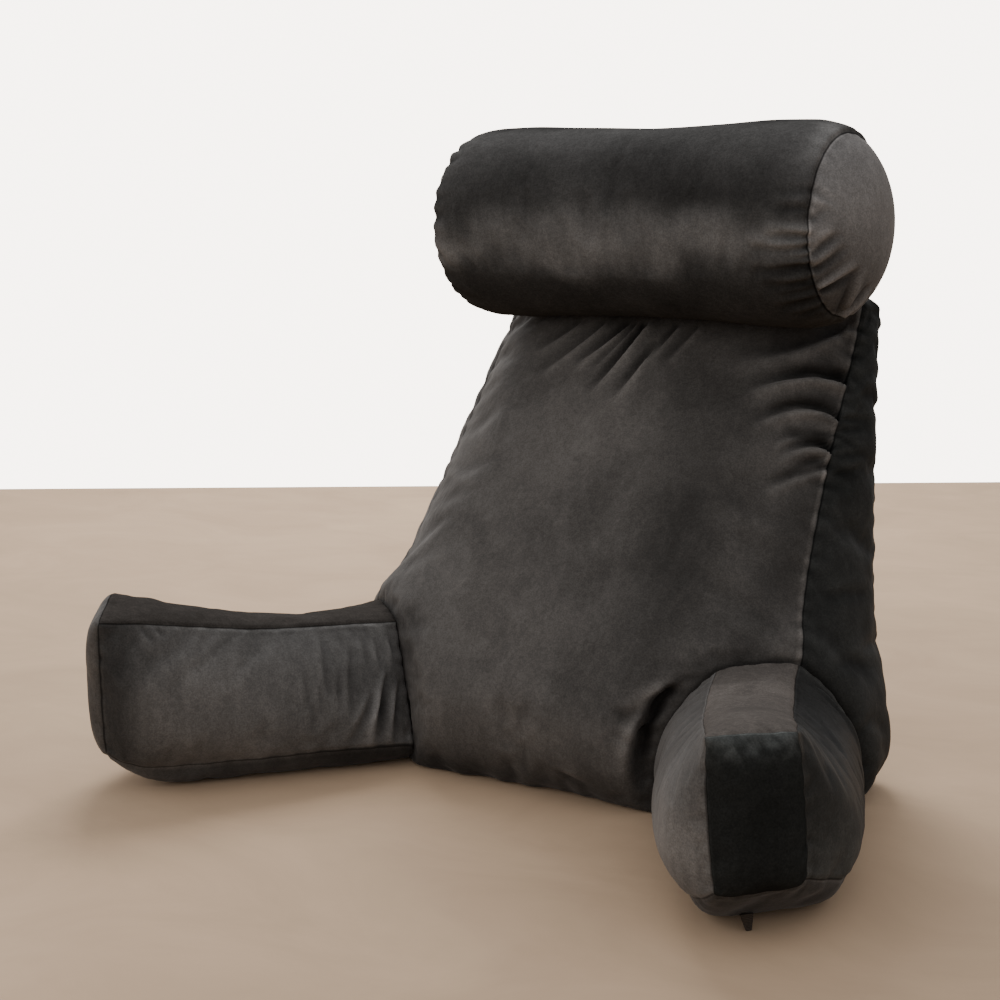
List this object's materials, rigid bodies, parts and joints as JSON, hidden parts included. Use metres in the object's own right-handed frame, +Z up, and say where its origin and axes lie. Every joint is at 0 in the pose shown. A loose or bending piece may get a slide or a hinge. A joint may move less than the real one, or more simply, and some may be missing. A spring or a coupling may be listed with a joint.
{
  "type": "reading pillow",
  "caption": "Wedge-shaped back cushion with padded arms sewn to its front corners and a round neck roll lying along its top, for sitting up on a bed or floor.",
  "frame": {"origin": "middle of the back cushion's flat base, on the surface the pillow stands on", "axes": "+Z up, -Y the way the sitter faces and the arms point, +X across the pillow, to the right seen from the front"},
  "size_m": [0.7836, 0.616, 0.6586],
  "materials": {
    "velour": "near-black short-pile velour, soft sheen that changes with the lie of the pile",
    "tab_tape": "dark woven tape"
  },
  "bodies": {
    "root": {"back_cushion": "velour", "arm_left": "velour", "arm_right": "velour", "neck_roll": "velour", "pull_tab": "tab_tape"}
  },
  "joints": []
}
